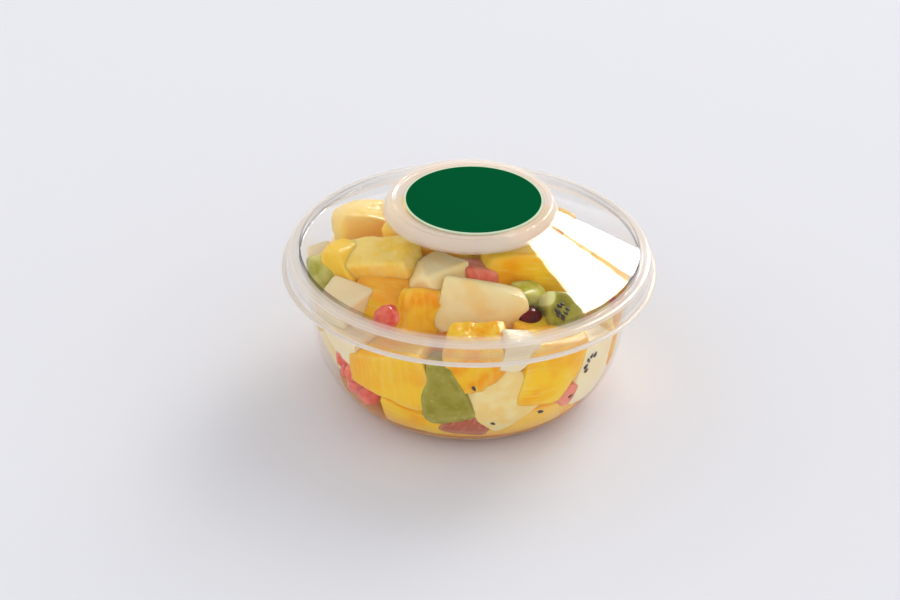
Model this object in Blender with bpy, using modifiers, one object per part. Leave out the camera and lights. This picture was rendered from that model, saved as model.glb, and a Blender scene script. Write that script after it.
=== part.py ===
"""Fruit salad in a clear turned bowl with a snap-on domed lid and a round label.

Metres, +Z up. The origin is the middle of the bowl's flat foot, on the surface it stands on.
Both clear pieces are turned about +Z, and the fruit is one heap, out to its uneven outline.
"""
import math
import random

import bmesh
import bpy
from mathutils import Euler, Vector

MM = 0.001

# Driving dimensions
LID_RADIUS = 65.0 * MM          # outer edge of the lid's skirt, the widest place
SKIRT_FOOT = 48.0 * MM          # height of the skirt's lower edge
FLANGE_TOP = 54.9 * MM          # height of the lid's flat flange over the bowl's rim
PANEL_TOP = 73.6 * MM           # height of the lid's flat round panel
PANEL_RADIUS = 26.0 * MM
FOOT_RADIUS = 34.0 * MM         # the bowl's flat foot
BELLY_RADIUS = 54.8 * MM        # where the rounded lower wall turns into the straight upper wall
BELLY_HEIGHT = 27.0 * MM
BELLY_POWER = 1.8               # 2 would be a quarter of an ellipse
WALL_TOP_RADIUS = 57.9 * MM
WALL_TOP = 50.6 * MM
LABEL_RADIUS = 23.8 * MM
LABEL_SHIFT = 1.0 * MM          # the label sits a little off the panel's middle

WALL = 0.6 * MM                 # thickness of the clear sheet
FLOOR = 0.8 * MM
GAP = 0.3 * MM                  # left between pieces that touch
LABEL_THICKNESS = 0.2 * MM
TURN_STEPS = 48
FACET_SHARE = math.cos(math.pi / TURN_STEPS)
WALL_BANDS = 7
FILLET_STEPS = 2
SMOOTH_ANGLE = math.radians(35)

# The heap
HEAP_CLEARANCE = 0.4 * MM       # to the clear walls and floor
HEAP_TOP = 65.0 * MM
HEAP_MIDDLE = 30.0 * MM         # height from which the outline is measured
HEAP_MERIDIANS = 60
HEAP_PARALLELS = 30
CORE_SHARE = 0.86               # how deep the dents between chunks go, as a share of the full size
CHUNK_HALF = Vector((13.5, 11.0, 9.0)) * MM
CHUNK_SIZE_SPREAD = 0.18
# tiers of chunks: how many, radius of the ring, height of the ring
CHUNK_TIERS = (
    (8, 33 * MM, 12 * MM),
    (10, 40 * MM, 28 * MM),
    (10, 42 * MM, 43 * MM),
    (7, 30 * MM, 52 * MM),
    (4, 14 * MM, 57 * MM),
)
CHUNK_SEED = 11

CLEAR_TINT = (0.90, 0.91, 0.92, 1.0)
LABEL_GREEN = (0.004, 0.127, 0.040, 1.0)
FRUIT_YELLOW = (0.80, 0.46, 0.09, 1.0)


def start_clean():
    for old in list(bpy.data.objects):
        bpy.data.objects.remove(old, do_unlink=True)


def material(name, colour, roughness, alpha=1.0):
    made = bpy.data.materials.new(name)
    made.use_nodes = True
    shader = made.node_tree.nodes["Principled BSDF"]
    shader.inputs["Base Color"].default_value = colour
    shader.inputs["Roughness"].default_value = roughness
    shader.inputs["Metallic"].default_value = 0.0
    shader.inputs["Alpha"].default_value = alpha
    return made


def rounded(corners):
    """The outline through corners (radius, height, fillet), each corner rounded by its fillet."""
    points = []
    for index, (r, z, fillet) in enumerate(corners):
        corner = Vector((r, z))
        if fillet == 0:
            points.append(corner)
            continue
        back = (Vector(corners[index - 1][:2]) - corner).normalized()
        ahead = (Vector(corners[index + 1][:2]) - corner).normalized()
        half = back.angle(ahead) / 2
        reach = fillet / math.tan(half)
        middle = corner + (back + ahead).normalized() * (fillet / math.sin(half))
        first = corner + back * reach - middle
        sweep = first.angle_signed(corner + ahead * reach - middle)
        for step in range(FILLET_STEPS + 1):
            turn = -sweep * step / FILLET_STEPS
            points.append(middle + Vector((
                first.x * math.cos(turn) - first.y * math.sin(turn),
                first.x * math.sin(turn) + first.y * math.cos(turn))))
    return points


def turned(name, outline, collection, finish):
    """A solid turned about +Z from a closed outline that starts and ends on the axis."""
    mesh = bpy.data.meshes.new(name)
    mesh.from_pydata([(p.x, 0, p.y) for p in outline],
                     [(i, i + 1) for i in range(len(outline) - 1)], [])
    piece = bpy.data.objects.new(name, mesh)
    collection.objects.link(piece)
    screw = piece.modifiers.new("turn", 'SCREW')
    screw.steps = TURN_STEPS
    screw.render_steps = TURN_STEPS
    screw.use_merge_vertices = True
    screw.merge_threshold = 0.01 * MM
    screw.use_smooth_shade = True
    mesh.materials.append(finish)
    return piece


def wall_point(turn):
    """A point of the bowl's outer wall, from its foot (turn 0) to its widest bend (90 degrees)."""
    power = 2 / BELLY_POWER
    return Vector((FOOT_RADIUS + (BELLY_RADIUS - FOOT_RADIUS) * math.sin(turn) ** power,
                   BELLY_HEIGHT * (1 - math.cos(turn) ** power)))


def wall_outline(inset):
    """Points up the wall from just above the foot to its top, inset square to its outer face."""
    outer = [wall_point(math.radians(90 * step / WALL_BANDS)) for step in range(WALL_BANDS)]
    outer += [Vector((BELLY_RADIUS, BELLY_HEIGHT)), Vector((WALL_TOP_RADIUS, WALL_TOP))]
    points = []
    for below, point, above in zip(outer, outer[1:], outer[2:]):
        along = (above - below).normalized()
        points.append(point + Vector((-along.y, along.x)) * inset)
    points.append(outer[-1] + Vector((-inset, 0)))
    return points


def bowl(collection, finish):
    inside = [Vector((0, FLOOR)), Vector((FOOT_RADIUS + 0.8 * MM, FLOOR))] + wall_outline(WALL)
    # the rim: out over the top, down its outer leg, and back under to the wall
    rim_top = FLANGE_TOP - WALL - GAP
    rim = rounded([
        (WALL_TOP_RADIUS - WALL, WALL_TOP, 0),
        (WALL_TOP_RADIUS - 0.1 * MM, rim_top, 0.7 * MM),
        (61.8 * MM, rim_top, 1.4 * MM),
        (62.9 * MM, 49.8 * MM, 0),
        (62.3 * MM, 49.8 * MM, 0),
        (61.3 * MM, rim_top - WALL, 0.8 * MM),
        (WALL_TOP_RADIUS + 0.5 * MM, rim_top - WALL, 0.5 * MM),
        (WALL_TOP_RADIUS, WALL_TOP, 0),
    ])
    outside = wall_outline(0)[::-1][1:]
    foot = [Vector((FOOT_RADIUS, 0)), Vector((0, 0))]
    return turned("bowl", inside + rim[1:] + outside + foot, collection, finish)


def lid(collection, finish):
    outer = rounded([
        (0, PANEL_TOP, 0),
        (PANEL_RADIUS, PANEL_TOP, 0.5 * MM),
        (26.8 * MM, 74.4 * MM, 0.5 * MM),
        (28.2 * MM, 74.4 * MM, 0.6 * MM),
        (29.3 * MM, 70.9 * MM, 0.8 * MM),
        (58.9 * MM, 56.6 * MM, 1.2 * MM),
        (59.9 * MM, FLANGE_TOP, 0.4 * MM),
        (62.7 * MM, FLANGE_TOP, 1.6 * MM),
        (64.1 * MM, SKIRT_FOOT + WALL, 0.4 * MM),
        (LID_RADIUS, SKIRT_FOOT + WALL, 0),
    ])
    inner = rounded([
        (LID_RADIUS, SKIRT_FOOT, 0),
        (63.6 * MM, SKIRT_FOOT, 0.3 * MM),
        (62.2 * MM, FLANGE_TOP - WALL, 0.9 * MM),
        (59.3 * MM, FLANGE_TOP - WALL, 0.3 * MM),
        (58.5 * MM, 56.1 * MM, 0.6 * MM),
        (28.7 * MM, 70.5 * MM, 0.8 * MM),
        (27.6 * MM, PANEL_TOP - WALL, 0.4 * MM),
        (0, PANEL_TOP - WALL, 0),
    ])
    return turned("lid", outer + inner, collection, finish)


def label(collection, finish):
    mesh = bpy.data.meshes.new("label")
    shape = bmesh.new()
    bmesh.ops.create_cone(shape, cap_ends=True, segments=TURN_STEPS, radius1=LABEL_RADIUS,
                          radius2=LABEL_RADIUS, depth=LABEL_THICKNESS)
    shape.to_mesh(mesh)
    shape.free()
    mesh.materials.append(finish)
    piece = bpy.data.objects.new("label", mesh)
    piece.location = (LABEL_SHIFT, 0, PANEL_TOP + GAP + LABEL_THICKNESS / 2)
    collection.objects.link(piece)
    return piece


def room_radius(height):
    """How far out the heap may go at a height: the bowl's wall below, the lid's cone above."""
    wall = wall_outline(WALL)
    for below, above in zip(wall, wall[1:]):
        if height < above.y:
            share = max(0.0, (height - below.y) / (above.y - below.y))
            return (below.x + (above.x - below.x) * share) * FACET_SHARE - HEAP_CLEARANCE
    cone_slope = (70.5 - 56.1) / (58.5 - 28.7)
    cone_radius = 58.5 * MM - (height - 56.1 * MM) / cone_slope
    return min(wall[-1].x * FACET_SHARE, cone_radius * FACET_SHARE - WALL) - HEAP_CLEARANCE


def inside_room(point):
    if point.z < FLOOR + HEAP_CLEARANCE or point.z > HEAP_TOP:
        return False
    return math.hypot(point.x, point.y) < room_radius(point.z)


def shell_reach(middle, direction):
    """Distance from the heap's middle to the room's limit along a direction, by halving."""
    near, far = 0.0, 2 * LID_RADIUS
    for _ in range(24):
        reach = (near + far) / 2
        if inside_room(middle + direction * reach):
            near = reach
        else:
            far = reach
    return near


def chunk_places():
    """Each chunk as its middle, its turn and its half sizes, in rings up the heap."""
    draw = random.Random(CHUNK_SEED)
    places = []
    for tier, (count, ring, height) in enumerate(CHUNK_TIERS):
        for index in range(count):
            around = 2 * math.pi * (index + 0.5 * (tier % 2) + draw.uniform(-0.15, 0.15)) / count
            middle = Vector((ring * math.cos(around), ring * math.sin(around),
                             height + draw.uniform(-2.5, 2.5) * MM))
            turn = Euler([draw.uniform(-0.6, 0.6), draw.uniform(-0.6, 0.6),
                          around + draw.uniform(-0.5, 0.5)]).to_matrix()
            size = CHUNK_HALF * (1 + draw.uniform(-CHUNK_SIZE_SPREAD, CHUNK_SIZE_SPREAD))
            places.append((middle, turn, size))
    return places


def chunk_reach(origin, direction, chunk):
    """Distance along a direction to where it leaves a chunk's block, or 0 if it misses it."""
    middle, turn, size = chunk
    start = turn.transposed() @ (origin - middle)
    way = turn.transposed() @ direction
    enter, leave = 0.0, 2 * LID_RADIUS
    for axis in range(3):
        if abs(way[axis]) < 1e-9:
            if abs(start[axis]) > size[axis]:
                return 0.0
            continue
        one = (-size[axis] - start[axis]) / way[axis]
        other = (size[axis] - start[axis]) / way[axis]
        enter = max(enter, min(one, other))
        leave = min(leave, max(one, other))
    return leave if leave > enter else 0.0


def fruit(collection, finish):
    """A ball drawn out in every direction to the outermost chunk or the room's limit."""
    middle = Vector((0, 0, HEAP_MIDDLE))
    chunks = chunk_places()
    mesh = bpy.data.meshes.new("fruit")
    shape = bmesh.new()
    bmesh.ops.create_uvsphere(shape, u_segments=HEAP_MERIDIANS, v_segments=HEAP_PARALLELS,
                              radius=1.0)
    for corner in shape.verts:
        direction = corner.co.normalized()
        room = shell_reach(middle, direction)
        outermost = max(chunk_reach(middle, direction, chunk) for chunk in chunks)
        corner.co = middle + direction * min(room, max(outermost, CORE_SHARE * room))
    bmesh.ops.triangulate(shape, faces=shape.faces)
    shape.to_mesh(mesh)
    shape.free()
    mesh.materials.append(finish)
    piece = bpy.data.objects.new("fruit", mesh)
    collection.objects.link(piece)
    return piece


def shade(piece):
    piece.data.shade_smooth()
    piece.data.set_sharp_from_angle(angle=SMOOTH_ANGLE)


def build():
    start_clean()
    salad = bpy.data.collections.new("fruit_salad")
    bpy.context.scene.collection.children.link(salad)
    clear = material("clear_bowl", CLEAR_TINT, 0.05, alpha=0.25)
    clear_lid = material("clear_lid", CLEAR_TINT, 0.05, alpha=0.25)
    bowl(salad, clear)
    lid(salad, clear_lid)
    shade(label(salad, material("label_film", LABEL_GREEN, 0.45)))
    shade(fruit(salad, material("fruit_flesh", FRUIT_YELLOW, 0.35)))


build()
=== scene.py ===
"""Fruit salad in its clear bowl and snap-on lid: the looks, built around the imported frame."""
import math
import random

import bmesh
import bpy
from mathutils import Euler, Matrix, Vector, noise


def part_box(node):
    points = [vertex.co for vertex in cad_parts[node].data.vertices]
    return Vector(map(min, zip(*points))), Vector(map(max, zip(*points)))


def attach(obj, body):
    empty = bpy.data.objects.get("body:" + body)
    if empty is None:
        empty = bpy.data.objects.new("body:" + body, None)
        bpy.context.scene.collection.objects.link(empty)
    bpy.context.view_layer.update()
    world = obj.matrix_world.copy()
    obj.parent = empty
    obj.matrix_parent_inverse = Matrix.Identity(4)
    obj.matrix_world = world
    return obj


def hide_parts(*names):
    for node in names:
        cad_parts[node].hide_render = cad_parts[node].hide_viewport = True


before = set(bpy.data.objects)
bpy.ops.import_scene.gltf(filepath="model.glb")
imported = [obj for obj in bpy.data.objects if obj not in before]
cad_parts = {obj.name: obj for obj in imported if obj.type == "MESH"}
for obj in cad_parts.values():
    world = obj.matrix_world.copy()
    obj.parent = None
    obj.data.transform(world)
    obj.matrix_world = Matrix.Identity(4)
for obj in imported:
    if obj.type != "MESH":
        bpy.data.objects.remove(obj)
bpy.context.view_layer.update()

MM = 0.001
_, bowl_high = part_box("bowl")
lid_low, lid_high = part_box("lid")
label_low, label_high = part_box("label")

# ---------------- sizes of the clear pieces
WALL = 0.6 * MM
FLOOR = 0.8 * MM
FOOT_RADIUS = 34.0 * MM
BELLY_RADIUS = 54.8 * MM
BELLY_HEIGHT = 27.0 * MM
BELLY_POWER = 1.8
WALL_TOP_RADIUS = bowl_high.x - 5.0 * MM
WALL_TOP = bowl_high.z - 3.4 * MM
RIM_TOP = bowl_high.z
RIM_EDGE_RADIUS = 61.8 * MM  # where the rim's flat top turns down into its lip
LIP_RADIUS = 62.9 * MM
LIP_FOOT = 49.8 * MM
PANEL_TOP = lid_high.z - 0.8 * MM  # the flat top inside its raised bead
BEAD_FOOT_RADIUS = 26.0 * MM
BEAD_RADII = (26.8 * MM, 28.2 * MM)
STEP_FOOT_RADIUS = 29.3 * MM
STEP_FOOT = PANEL_TOP - 2.7 * MM
CONE_FOOT_RADIUS = 58.9 * MM
CONE_FOOT = 56.6 * MM
FLANGE_RADII = (59.9 * MM, 62.7 * MM)
FLANGE_TOP = RIM_TOP + 0.9 * MM
SKIRT_RADIUS = 64.1 * MM
SKIRT_FOOT = lid_low.z
LABEL_MIDDLE = (label_low + label_high) / 2
LABEL_BORDER = (23.1 * MM, 23.3 * MM)  # green gives way to the pale edge between these radii
TURN_STEPS = 160
WALL_BANDS = 18
FILLET_STEPS = 5

# ---------------- sizes of the fruit
SHOWN_CUTS = 20  # how finely a chunk's faces are divided
FILL_CUTS = 12
ASKEW = 0.17  # how far a cut leans from square
SLACK = 0.06  # how much a cut's place varies
PATTERN_SHIFT = 0.01  # so that no two chunks show the same pattern
PRESSED_HALF = 0.45  # of a chunk's thickness, from the wall to its middle
CORELESS = 0.8  # every other chunk's place on a kiwi's core-to-skin scale
SECTOR_CORNER = 0.8  # a kiwi slice's core, in half sizes from its middle
SECTOR_RADIUS = 1.8
SLICE_SEEDS = 9  # on each cut face of a kiwi slice
SEED_RING = (0.32, 0.6)  # where they lie between core and skin
SEED_HALVES = (1.15 * MM, 0.675 * MM, 0.45 * MM)
SEED_SUNK = 0.4 * MM  # from the wall's inside to the middle of a seed on it
ARIL_HALVES = (5.0 * MM, 4.5 * MM, 4.3 * MM)
ARIL_REACH = 4.4 * MM
HIDDEN_ARILS = 26  # tried at random places; some of them don't fit
HEAP_MIDDLE = Vector((0, 0, 32 * MM))
CONTACT = 0.30 * MM  # a chunk's clearance to the clear wall that it lies against
LAYER_GAP = 0.03 * MM  # how much further in each next shown chunk stays
FILL_GAP = 0.6 * MM  # how much further in the hidden chunks stay
CONE_GAP = 2.2 * WALL  # from the cone's outside in to the fruit, measured level
PRESS_STEPS = 14  # halvings that find where a point stops at the wall
JUICE_LEVEL = 6.5 * MM
CORE_REACH = 44  # mm
CORE_RISE = 22  # mm
CORE_MIDDLE = 30  # mm


def srgb(red, green, blue):
    """Display values from 0 to 255 as the linear colour that a shader takes."""
    def linear(value):
        value /= 255
        return value / 12.92 if value <= 0.04045 else ((value + 0.055) / 1.055) ** 2.4
    return (linear(red), linear(green), linear(blue), 1.0)


def in_scene(name, data):
    """The object for a mesh, a lamp or a camera, put in the scene."""
    thing = bpy.data.objects.new(name, data)
    bpy.context.scene.collection.objects.link(thing)
    return thing


# ================ node tools
def new_node(tree, kind, inputs, settings):
    """A node in a tree: its settings first, then the values or links of its sockets."""
    node = tree.nodes.new(kind)
    for name, value in settings.items():
        setattr(node, name, value)
    for key, value in (inputs or {}).items():
        value = getattr(value, "socket", value)
        if isinstance(value, bpy.types.NodeSocket):
            tree.links.new(value, node.inputs[key])
        else:
            node.inputs[key].default_value = value
    return node


class Number:
    """An output socket that Python's operators work on; each adds its Math node."""

    def __init__(self, finish, socket):
        self.finish = finish
        self.socket = socket

    def maths(self, operation, *others):
        return self.finish.add("ShaderNodeMath", dict(enumerate((self,) + others)),
                               operation=operation)

    def __add__(self, other):
        return self.maths('ADD', other)

    def __mul__(self, other):
        return self.maths('MULTIPLY', other)

    def __pow__(self, other):
        return self.maths('POWER', other)

    def __rsub__(self, other):
        return self.finish.add("ShaderNodeMath", {0: other, 1: self}, operation='SUBTRACT')

    __radd__ = __add__
    __rmul__ = __mul__

    def rise(self, low, high):
        """0 below low, 1 above high, and smooth between."""
        return self.finish.add("ShaderNodeMapRange", {"Value": self, "From Min": low,
                               "From Max": high}, interpolation_type='SMOOTHSTEP')


class Finish:
    """A material, or the world, under construction."""

    def __init__(self, name, kind=bpy.data.materials):
        self.material = kind.new(name)
        self.material.use_nodes = True
        self.tree = self.material.node_tree
        self.tree.nodes.clear()

    def add(self, kind, inputs=None, output=0, **settings):
        """Adds one node and returns one of its outputs."""
        node = new_node(self.tree, kind, inputs, settings)
        return Number(self, node.outputs[output]) if len(node.outputs) else None

    def mix(self, factor, first, second):
        return self.add("ShaderNodeMix", {0: factor, 6: first, 7: second}, 2, data_type='RGBA')

    def mix_shaders(self, factor, first, second):
        return self.add("ShaderNodeMixShader", {0: factor, 1: first, 2: second})

    def place(self):
        """Object coordinates, in metres."""
        return self.add("ShaderNodeTexCoord", output="Object")

    def axes(self, vector):
        """The X, Y and Z of a vector."""
        split = self.add("ShaderNodeSeparateXYZ", {0: vector}).socket.node
        return [Number(self, value) for value in split.outputs]

    def own(self):
        """A chunk's own coordinates, which its points carry."""
        return self.add("ShaderNodeAttribute", output="Vector", attribute_name="own")

    def amount(self, name):
        """A named amount that a chunk's points carry."""
        return self.add("ShaderNodeAttribute", output="Fac", attribute_name=name)

    def stretched(self, vector, scale):
        return self.add("ShaderNodeMapping", {"Vector": vector, "Scale": scale})

    def cloud(self, vector, size, detail=2.0):
        """Noise from 0 to 1 with patches of a size in metres."""
        return self.add("ShaderNodeTexNoise", {"Vector": vector, "Scale": 1 / size,
                                               "Detail": detail})

    def cells(self, vector, size):
        """Rounded cells of a size in metres: how far each point is from its cell's middle."""
        return self.add("ShaderNodeTexVoronoi", {"Vector": vector, "Scale": 1 / size})

    def mottled(self, patch, first, second, low=0.38, high=0.66):
        """Two colours in soft patches."""
        return self.mix(patch.rise(low, high), first, second)

    def bump(self, height, depth, strength=1.0):
        """A Bump node for a height from 0 to 1 that stands depth metres high."""
        return self.add("ShaderNodeBump", {"Height": height, "Distance": depth,
                                           "Strength": strength})

    def done(self, shader):
        self.add("ShaderNodeOutputMaterial", {"Surface": shader})
        return self.material


# ================ the clear pieces
def rounded(corners):
    """The outline through corners (radius, height, fillet), each corner rounded by its fillet."""
    points = []
    for index, (r, z, fillet) in enumerate(corners):
        corner = Vector((r, z))
        if fillet == 0:
            points.append(corner)
            continue
        back = (Vector(corners[index - 1][:2]) - corner).normalized()
        ahead = (Vector(corners[index + 1][:2]) - corner).normalized()
        half = back.angle(ahead) / 2
        reach = fillet / math.tan(half)
        middle = corner + (back + ahead).normalized() * (fillet / math.sin(half))
        first = corner + back * reach - middle
        sweep = first.angle_signed(corner + ahead * reach - middle)
        for step in range(FILLET_STEPS + 1):
            turn = -sweep * step / FILLET_STEPS
            points.append(middle + Vector((
                first.x * math.cos(turn) - first.y * math.sin(turn),
                first.x * math.sin(turn) + first.y * math.cos(turn))))
    return points


def wall_point(turn):
    """A point of the bowl's outer wall, from its foot (turn 0) to its widest bend (90 degrees)."""
    power = 2 / BELLY_POWER
    return Vector((FOOT_RADIUS + (BELLY_RADIUS - FOOT_RADIUS) * math.sin(turn) ** power,
                   BELLY_HEIGHT * (1 - math.cos(turn) ** power)))


def wall_outline(inset):
    """Points up the wall from just above the foot to its top, inset square to its outer face."""
    outer = [wall_point(math.radians(90 * step / WALL_BANDS)) for step in range(WALL_BANDS)]
    outer += [Vector((BELLY_RADIUS, BELLY_HEIGHT)), Vector((WALL_TOP_RADIUS, WALL_TOP))]
    points = []
    for below, point, above in zip(outer, outer[1:], outer[2:]):
        along = (above - below).normalized()
        points.append(point + Vector((-along.y, along.x)) * inset)
    points.append(outer[-1] + Vector((-inset, 0)))
    return points


def bowl_outline():
    """Up the inside, over the rolled rim, down the outside and back under the foot."""
    inside = [Vector((0, FLOOR)), Vector((FOOT_RADIUS + 0.8 * MM, FLOOR))] + wall_outline(WALL)
    rim = rounded([
        (WALL_TOP_RADIUS - WALL, WALL_TOP, 0),
        (WALL_TOP_RADIUS - 0.1 * MM, RIM_TOP, 0.7 * MM),
        (RIM_EDGE_RADIUS, RIM_TOP, 1.4 * MM),
        (LIP_RADIUS, LIP_FOOT, 0),
        (LIP_RADIUS - WALL, LIP_FOOT, 0),
        (RIM_EDGE_RADIUS - 0.5 * MM, RIM_TOP - WALL, 0.8 * MM),
        (WALL_TOP_RADIUS + 0.5 * MM, RIM_TOP - WALL, 0.5 * MM),
        (WALL_TOP_RADIUS, WALL_TOP, 0),
    ])
    outside = wall_outline(0)[::-1][1:]
    return inside + rim[1:] + outside + [Vector((FOOT_RADIUS, 0)), Vector((0, 0))]


def lid_outline():
    """Over the outside from the flat top to the skirt's edge, and back along the inside."""
    outer = rounded([
        (0, PANEL_TOP, 0),
        (BEAD_FOOT_RADIUS, PANEL_TOP, 0.5 * MM),
        (BEAD_RADII[0], lid_high.z, 0.5 * MM),
        (BEAD_RADII[1], lid_high.z, 0.6 * MM),
        (STEP_FOOT_RADIUS, STEP_FOOT, 0.8 * MM),
        (CONE_FOOT_RADIUS, CONE_FOOT, 1.2 * MM),
        (FLANGE_RADII[0], FLANGE_TOP, 0.4 * MM),
        (FLANGE_RADII[1], FLANGE_TOP, 1.6 * MM),
        (SKIRT_RADIUS, SKIRT_FOOT + WALL, 0.4 * MM),
        (lid_high.x, SKIRT_FOOT + WALL, 0),
    ])
    inner = rounded([
        (lid_high.x, SKIRT_FOOT, 0),
        (SKIRT_RADIUS - 0.5 * MM, SKIRT_FOOT, 0.3 * MM),
        (FLANGE_RADII[1] - 0.5 * MM, FLANGE_TOP - WALL, 0.9 * MM),
        (FLANGE_RADII[0] - WALL, FLANGE_TOP - WALL, 0.3 * MM),
        (CONE_FOOT_RADIUS - 0.4 * MM, CONE_FOOT - 0.5 * MM, 0.6 * MM),
        (STEP_FOOT_RADIUS - WALL, STEP_FOOT - 0.4 * MM, 0.8 * MM),
        (BEAD_RADII[1] - WALL, PANEL_TOP - WALL, 0.4 * MM),
        (0, PANEL_TOP - WALL, 0),
    ])
    return outer + inner


def label_outline():
    """A thin disc that lies just over the flat top."""
    half = (label_high.x - label_low.x) / 2
    under = PANEL_TOP + 0.02 * MM
    return rounded([(0, label_high.z, 0), (half, label_high.z, 0.05 * MM), (half, under, 0),
                    (0, under, 0)])


def turned(name, outline, finish, shift=(0, 0)):
    """A solid turned about +Z from a closed outline that starts and ends on the axis."""
    points, rings, faces = [], [], []
    for r, z in outline:
        ring = []
        for step in range(TURN_STEPS if r > 0 else 1):
            turn = 2 * math.pi * step / TURN_STEPS
            ring.append(len(points))
            points.append((shift[0] + r * math.cos(turn), shift[1] + r * math.sin(turn), z))
        rings.append(ring)
    for one, other in zip(rings, rings[1:]):
        for step in range(TURN_STEPS):
            after = (step + 1) % TURN_STEPS
            corners = [one[step % len(one)], one[after % len(one)],
                       other[after % len(other)], other[step % len(other)]]
            faces.append(list(dict.fromkeys(corners)))
    mesh = bpy.data.meshes.new(name)
    mesh.from_pydata(points, [], faces)
    return finished(name, mesh, finish)


def finished(name, mesh, finish, sharp=math.radians(35)):
    """The object for a mesh: faces outwards, smooth but for its sharp edges, with its finish."""
    shape = bmesh.new()
    shape.from_mesh(mesh)
    bmesh.ops.recalc_face_normals(shape, faces=shape.faces)
    shape.to_mesh(mesh)
    shape.free()
    mesh.materials.append(finish)
    mesh.shade_smooth()
    mesh.set_sharp_from_angle(angle=sharp)
    return in_scene(name, mesh)


SHEET_TINT = (0.972, 0.969, 0.963, 1)
# painted shade: the darker tint that the clear sheet takes along the cone's foot
PAINTED_SHADE_TINT = (0.42, 0.41, 0.41, 1)
HAZE = srgb(241, 235, 228)
GLOSS_STRAIGHT = 0.008  # the share mirrored where the sheet faces the viewer,
GLOSS_ASLANT = 0.5  # and how much more at a grazing angle
MILK = 0.006  # the milky share of flat clear sheet
MILK_FADE = 0.3 * MM
LID_BANDS = (  # from radius, to radius, milky share
    (23.5 * MM, 26.0 * MM, 0.54),  # the flat top's margin, outside the label
    (26.4 * MM, 30.0 * MM, 0.5),  # the bead and the step
    (59.4 * MM, 61.6 * MM, 0.38),  # the flange
)


def band(value, low, high, soft):
    """1 between low and high, fading to 0 within soft of either."""
    return value.rise(low - soft, low) * (1 - value.rise(high, high + soft))


def off_axis(x, y):
    """How far a point lies from an upright axis."""
    return (x ** 2.0 + y ** 2.0) ** 0.5


def painted_shade_line(radius, x):
    """Painted shade along the foot of the lid's cone, where the bent sheet throws the light aside:
    the sheet is painted darker there, more at its sides.
    """
    # the painted shade is stronger away from the middle, towards the sides
    sides = (x * x).rise((18 * MM) ** 2, (46 * MM) ** 2) * 0.85 + 0.1
    return band(radius, 58.6 * MM, 58.8 * MM, 0.25 * MM) * sides


def lid_milk(radius, height):
    """Faint on the cone, more where the sheet is bent: bead, step, flange, skirt and lip."""
    milk = MILK
    for low, high, share in LID_BANDS:
        milk = milk + band(radius, low, high, MILK_FADE) * share
    bend = band(radius, 61.9 * MM, 63.0 * MM, MILK_FADE) * height.rise(53.4 * MM, 53.8 * MM) * 0.5
    skirt = radius.rise(62.6 * MM, 62.9 * MM) * 0.07
    lip = (1 - height.rise(48.7 * MM, 49.0 * MM)) * 0.75
    return milk + bend + skirt + lip


def bowl_milk(radius, height):
    """Faint, and a little more at the rim."""
    return MILK + radius.rise(57.6 * MM, 58.2 * MM) * 0.05


def clear_plastic(name, milky):
    """Clear sheet: what lies behind it, a painted shade line at the cone's foot, a milky share
    where it is thick or bent, and its gloss.
    """
    finish = Finish(name)
    x, y, height = finish.axes(finish.place())
    radius = off_axis(x, y)
    # painted shade: the clear sheet is tinted darker along the cone's foot
    tint = finish.mix(painted_shade_line(radius, x), SHEET_TINT, PAINTED_SHADE_TINT)
    clear = finish.add("ShaderNodeBsdfTransparent", {"Color": tint})
    haze = finish.mix_shaders(0.5, finish.add("ShaderNodeBsdfDiffuse", {"Color": HAZE}),
                              finish.add("ShaderNodeBsdfTranslucent", {"Color": HAZE}))
    body = finish.mix_shaders(milky(radius, height), clear, haze)
    facing = finish.add("ShaderNodeLayerWeight", {"Blend": 0.5}, "Facing")
    mirrored = GLOSS_STRAIGHT + facing ** 5.0 * GLOSS_ASLANT
    waves = finish.cloud(finish.place(), 9 * MM)
    gloss = finish.add("ShaderNodeBsdfAnisotropic", {
        "Color": (1, 1, 1, 1), "Roughness": 0.045, "Normal": finish.bump(waves, 0.05 * MM)})
    return finish.done(finish.mix_shaders(mirrored, body, gloss))


# ================ the cavity
class Cavity:
    """The room inside bowl and lid, which the fruit is pressed into."""

    def __init__(self):
        self.wall = [Vector((FOOT_RADIUS, FLOOR))] + wall_outline(WALL)
        self.slope = (STEP_FOOT - CONE_FOOT) / (CONE_FOOT_RADIUS - STEP_FOOT_RADIUS)

    def radius(self, height):
        """How far out the room reaches at a height."""
        for below, above in zip(self.wall, self.wall[1:]):
            if height < above.y:
                share = max(0.0, (height - below.y) / (above.y - below.y))
                return below.x + (above.x - below.x) * share
        cone = CONE_FOOT_RADIUS - (height - CONE_FOOT) / self.slope - CONE_GAP
        return min(self.wall[-1].x, cone)

    def holds(self, point, clearance):
        """Whether a point lies in the room, at least a clearance from its walls."""
        if point.z < FLOOR + clearance or point.z > PANEL_TOP - WALL - clearance:
            return False
        return math.hypot(point.x, point.y) < self.radius(point.z) - clearance

    def press(self, point, clearance):
        """The point, or the nearest one towards the heap's middle that the room holds."""
        if self.holds(point, clearance):
            return point
        near, far = 0.0, 1.0
        for _ in range(PRESS_STEPS):
            share = (near + far) / 2
            if self.holds(HEAP_MIDDLE.lerp(point, share), clearance):
                near = share
            else:
                far = share
        return HEAP_MIDDLE.lerp(point, near)


cavity = Cavity()


# ================ shapes of cut fruit
def ball(cuts):
    """Directions spread over a ball, and the faces between them."""
    shape = bmesh.new()
    bmesh.ops.create_cube(shape, size=2)
    bmesh.ops.subdivide_edges(shape, edges=shape.edges, cuts=cuts, use_grid_fill=True)
    ways = [Vector([math.tan(value * math.pi / 4) for value in corner.co]).normalized()
            for corner in shape.verts]
    faces = [[corner.index for corner in face.verts] for face in shape.faces]
    shape.free()
    return ways, faces


SHOWN_BALL = ball(SHOWN_CUTS)
FILL_BALL = ball(FILL_CUTS)


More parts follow.
